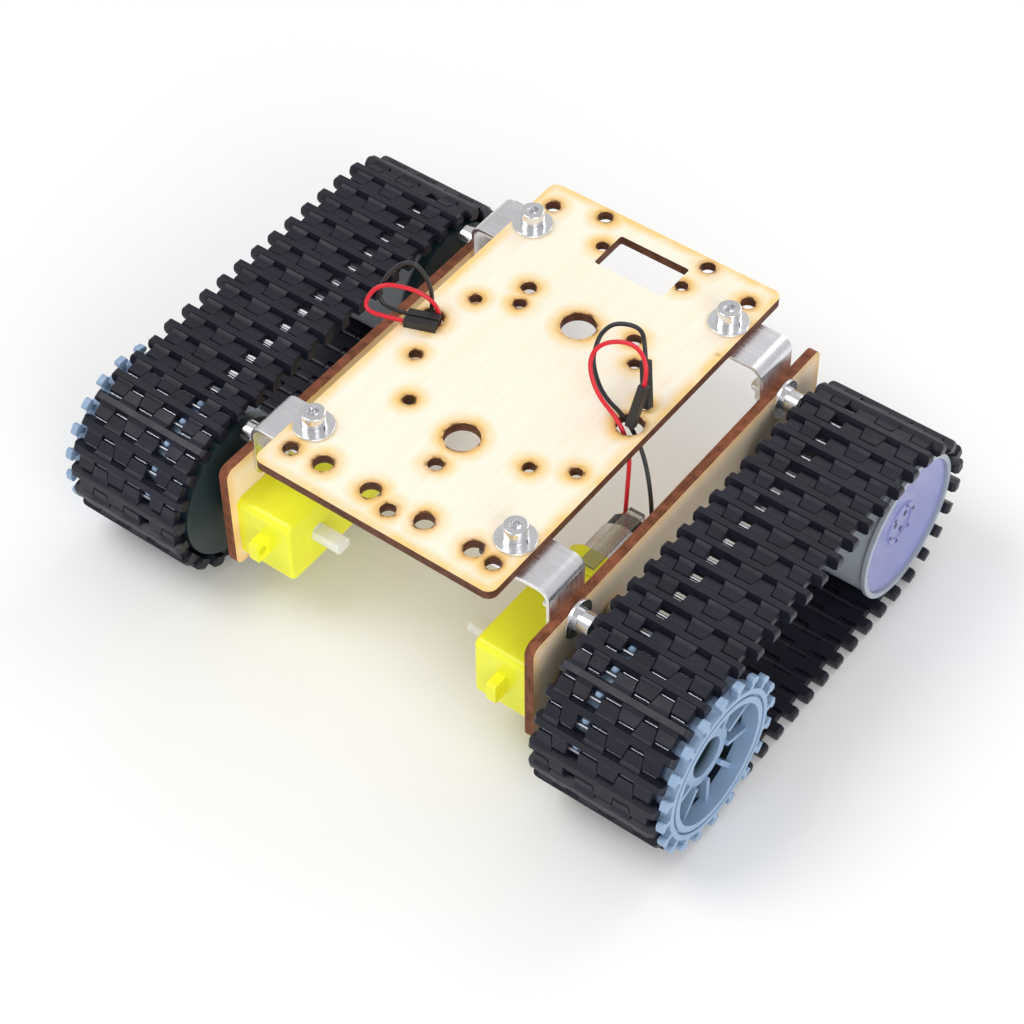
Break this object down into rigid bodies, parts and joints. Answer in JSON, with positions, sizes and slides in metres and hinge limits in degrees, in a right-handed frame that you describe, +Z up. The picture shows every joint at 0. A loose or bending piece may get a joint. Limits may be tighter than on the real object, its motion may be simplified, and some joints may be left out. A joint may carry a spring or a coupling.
{
  "type": "tracked robot chassis",
  "caption": "Tracked robot chassis: plywood deck and side plates on steel brackets, geared motors driving sprockets, idler wheels, hinged plastic tracks and jumper wires.",
  "frame": {"origin": "on the ground, in the middle of the chassis's length and width", "axes": "+Z up, +Y forward (the idler end), +X to the right; the two sides mirror each other across X = 0"},
  "size_m": [0.2076, 0.1544, 0.0934],
  "materials": {
    "deck_plywood": "laser-cut plywood face, satin",
    "side_plywood": "laser-cut plywood, burnt edges",
    "bracket_steel": "brushed sheet",
    "screw_steel": "bright plated",
    "washer_steel": "bright plated",
    "nut_steel": "bright plated",
    "pin_steel": "drawn steel",
    "track_pin_steel": "drawn steel",
    "magnet": "ferrite, matte",
    "black_plastic": "moulded, matte",
    "brass_terminal": "stamped brass",
    "clear_strap": "translucent moulded plastic",
    "yellow_plastic": "moulded, glossy",
    "motor_steel": "drawn steel can",
    "rotor_steel": "laminated steel",
    "white_plastic": "moulded nylon",
    "sprocket_plastic": "moulded, blue-grey",
    "idler_plastic": "moulded, grey",
    "cover_plastic": "moulded, lavender",
    "bearing_steel": "ground steel",
    "track_plastic": "moulded, near black",
    "red_wire": "soft insulation",
    "black_wire": "soft insulation"
  },
  "bodies": {
    "chassis": {"top_plate": "deck_plywood", "left_side_plate": "side_plywood", "right_side_plate": "side_plywood", "front_left_bracket": "bracket_steel", "front_right_bracket": "bracket_steel", "rear_left_bracket": "bracket_steel", "rear_right_bracket": "bracket_steel", "m4_screws": "screw_steel", "spring_washers": "washer_steel", "flat_washers": "washer_steel", "m4_nuts": "nut_steel", "motor_mount_screws": "screw_steel", "motor_mount_nuts": "nut_steel", "gear_pins": "pin_steel", "idler_axles": "screw_steel", "idler_axle_nuts": "nut_steel", "idler_spacers": "pin_steel", "motor_magnets": "magnet", "motor_end_caps": "black_plastic", "motor_terminals": "brass_terminal", "motor_straps": "clear_strap", "left_gearbox_outer_shell": "yellow_plastic", "left_gearbox_inner_shell": "yellow_plastic", "left_motor_can": "motor_steel", "left_track_links": "track_plastic", "left_track_pins": "track_pin_steel", "left_red_wire": "red_wire", "left_black_wire": "black_wire", "left_red_connector": "black_plastic", "left_black_connector": "black_plastic", "right_gearbox_outer_shell": "yellow_plastic", "right_gearbox_inner_shell": "yellow_plastic", "right_motor_can": "motor_steel", "right_track_links": "track_plastic", "right_track_pins": "track_pin_steel", "right_red_wire": "red_wire", "right_black_wire": "black_wire", "right_red_connector": "black_plastic", "right_black_connector": "black_plastic"},
    "left_drive": {"left_sprocket": "sprocket_plastic", "left_output_shaft": "white_plastic", "left_sprocket_screw": "screw_steel"},
    "left_idler": {"left_idler_wheel": "idler_plastic", "left_idler_cover": "cover_plastic", "left_idler_bearings": "bearing_steel"},
    "left_middle": {"left_middle_gear": "white_plastic"},
    "left_crown": {"left_crown_gear": "white_plastic"},
    "left_armature": {"left_rotor": "rotor_steel"},
    "right_drive": {"right_sprocket": "sprocket_plastic", "right_output_shaft": "white_plastic", "right_sprocket_screw": "screw_steel"},
    "right_idler": {"right_idler_wheel": "idler_plastic", "right_idler_cover": "cover_plastic", "right_idler_bearings": "bearing_steel"},
    "right_middle": {"right_middle_gear": "white_plastic"},
    "right_crown": {"right_crown_gear": "white_plastic"},
    "right_armature": {"right_rotor": "rotor_steel"}
  },
  "joints": [
    {"name": "left_drive_turn", "type": "hinge", "parent": "chassis", "child": "left_drive", "pos_m": [-0.08, -0.05005, 0.02761], "axis": [1, 0, 0], "continuous": true},
    {"name": "left_idler_turn", "type": "hinge", "parent": "chassis", "child": "left_idler", "pos_m": [-0.08, 0.05005, 0.02761], "axis": [1, 0, 0], "continuous": true},
    {"name": "left_middle_turn", "type": "hinge", "parent": "chassis", "child": "left_middle", "pos_m": [-0.0428, -0.04065, 0.0242], "axis": [1, 0, 0], "continuous": true},
    {"name": "left_crown_turn", "type": "hinge", "parent": "chassis", "child": "left_crown", "pos_m": [-0.0405, -0.0343, 0.02761], "axis": [1, 0, 0], "continuous": true},
    {"name": "left_armature_turn", "type": "hinge", "parent": "chassis", "child": "left_armature", "pos_m": [-0.0416, -0.01605, 0.02761], "axis": [0, 1, 0], "continuous": true},
    {"name": "right_drive_turn", "type": "hinge", "parent": "chassis", "child": "right_drive", "pos_m": [0.08, -0.05005, 0.02761], "axis": [1, 0, 0], "continuous": true},
    {"name": "right_idler_turn", "type": "hinge", "parent": "chassis", "child": "right_idler", "pos_m": [0.08, 0.05005, 0.02761], "axis": [1, 0, 0], "continuous": true},
    {"name": "right_middle_turn", "type": "hinge", "parent": "chassis", "child": "right_middle", "pos_m": [0.0428, -0.04065, 0.0242], "axis": [1, 0, 0], "continuous": true},
    {"name": "right_crown_turn", "type": "hinge", "parent": "chassis", "child": "right_crown", "pos_m": [0.0405, -0.0343, 0.02761], "axis": [1, 0, 0], "continuous": true},
    {"name": "right_armature_turn", "type": "hinge", "parent": "chassis", "child": "right_armature", "pos_m": [0.0416, -0.01605, 0.02761], "axis": [0, 1, 0], "continuous": true}
  ],
  "couplings": [
    {"joint": "left_idler_turn", "follows": "left_drive_turn", "ratio": 1},
    {"joint": "left_middle_turn", "follows": "left_drive_turn", "ratio": -4},
    {"joint": "left_crown_turn", "follows": "left_drive_turn", "ratio": 12},
    {"joint": "left_armature_turn", "follows": "left_drive_turn", "ratio": -48},
    {"joint": "right_idler_turn", "follows": "right_drive_turn", "ratio": 1},
    {"joint": "right_middle_turn", "follows": "right_drive_turn", "ratio": -4},
    {"joint": "right_crown_turn", "follows": "right_drive_turn", "ratio": 12},
    {"joint": "right_armature_turn", "follows": "right_drive_turn", "ratio": 48}
  ]
}
